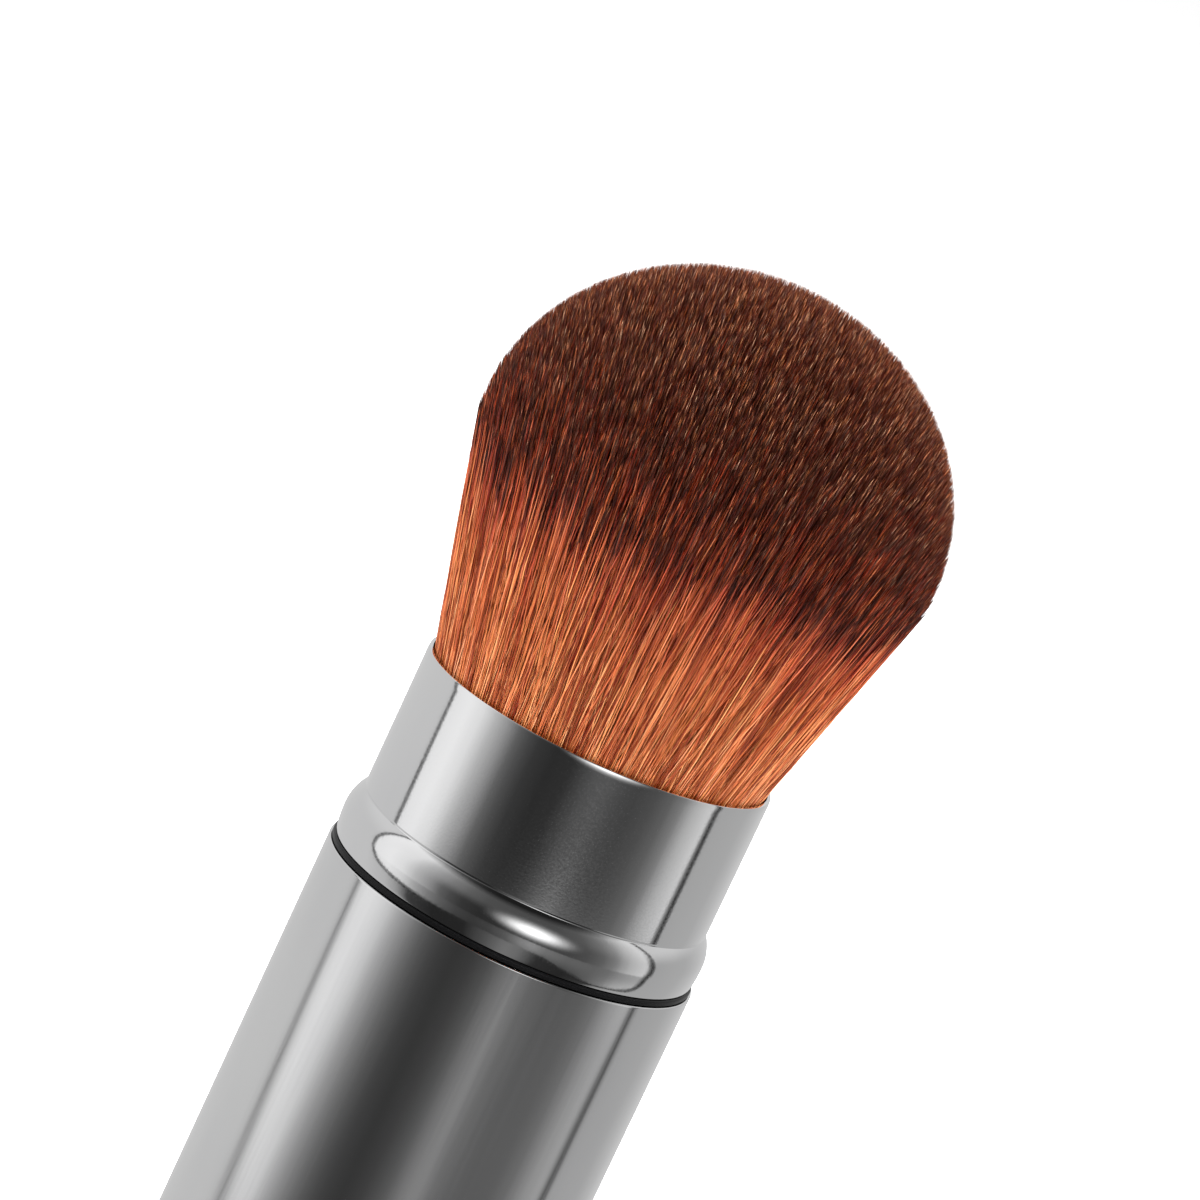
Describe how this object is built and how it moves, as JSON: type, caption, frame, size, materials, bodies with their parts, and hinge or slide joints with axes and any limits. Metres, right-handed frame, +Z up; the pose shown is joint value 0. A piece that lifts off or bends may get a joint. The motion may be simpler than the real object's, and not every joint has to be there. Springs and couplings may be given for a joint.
{
  "type": "retractable makeup brush",
  "caption": "Domed makeup brush on a round metal barrel, with a polished guard sleeve that slides up to cover the bristles",
  "frame": {"origin": "middle of the base cap's flat underside, which the brush stands on", "axes": "+Z up along the brush's axis, from the base towards the tuft; the slide ring's split faces +X"},
  "size_m": [0.0315, 0.0316, 0.1213],
  "materials": {
    "polished_metal": "drawn and mirror polished",
    "ferrule_metal": "drawn, plain",
    "steel": "zinc plated",
    "black_plastic": "satin moulded",
    "grey_plastic": "moulded",
    "ring_plastic": "natural acetal",
    "foam": "closed-cell foam",
    "glue": "cured",
    "bristle_fibre": "tapered synthetic fibre, terracotta at the root and dark brown at the tip"
  },
  "bodies": {
    "handle": {"barrel": "polished_metal", "barrel_liner": "grey_plastic", "mouth_bushing": "black_plastic", "base_cap": "polished_metal", "base_pad": "foam", "base_plug": "grey_plastic", "stem_screw": "steel", "screw_washer": "steel", "base_weight": "steel", "core_stem": "grey_plastic", "ferrule": "ferrule_metal", "glue_plug": "glue", "bristles": "bristle_fibre"},
    "guard": {"collar": "polished_metal", "guard_sleeve": "black_plastic", "slide_ring": "ring_plastic"}
  },
  "joints": [
    {"name": "guard_slide", "type": "slide", "parent": "handle", "child": "guard", "axis": [0, 0, 1], "range_m": [0, 0.0336], "deforming": ["bristles"]}
  ]
}
